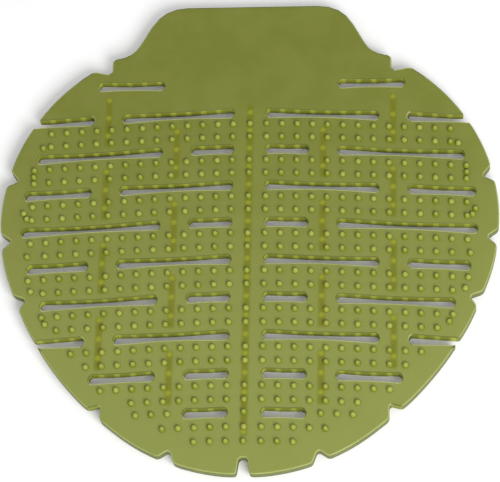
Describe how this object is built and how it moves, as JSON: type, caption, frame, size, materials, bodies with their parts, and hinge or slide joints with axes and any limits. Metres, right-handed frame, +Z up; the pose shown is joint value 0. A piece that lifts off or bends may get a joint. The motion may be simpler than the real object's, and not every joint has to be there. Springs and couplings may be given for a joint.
{
  "type": "urinal deodorizer screen",
  "caption": "Round flexible drain screen with a grip tab, notched rim, arched rows of drain slots, fine splash pins on top and stand-off ribs underneath.",
  "frame": {"origin": "under the middle of the outline, on the surface that the ribs rest on", "axes": "+Z up through the sheet, towards the pins; +Y in the sheet, towards the grip tab; +X to the right"},
  "size_m": [0.181, 0.1835, 0.0074],
  "materials": {
    "clear_vinyl": "satin, see-through olive green"
  },
  "bodies": {
    "root": {"screen_mat": "clear_vinyl"}
  },
  "joints": []
}
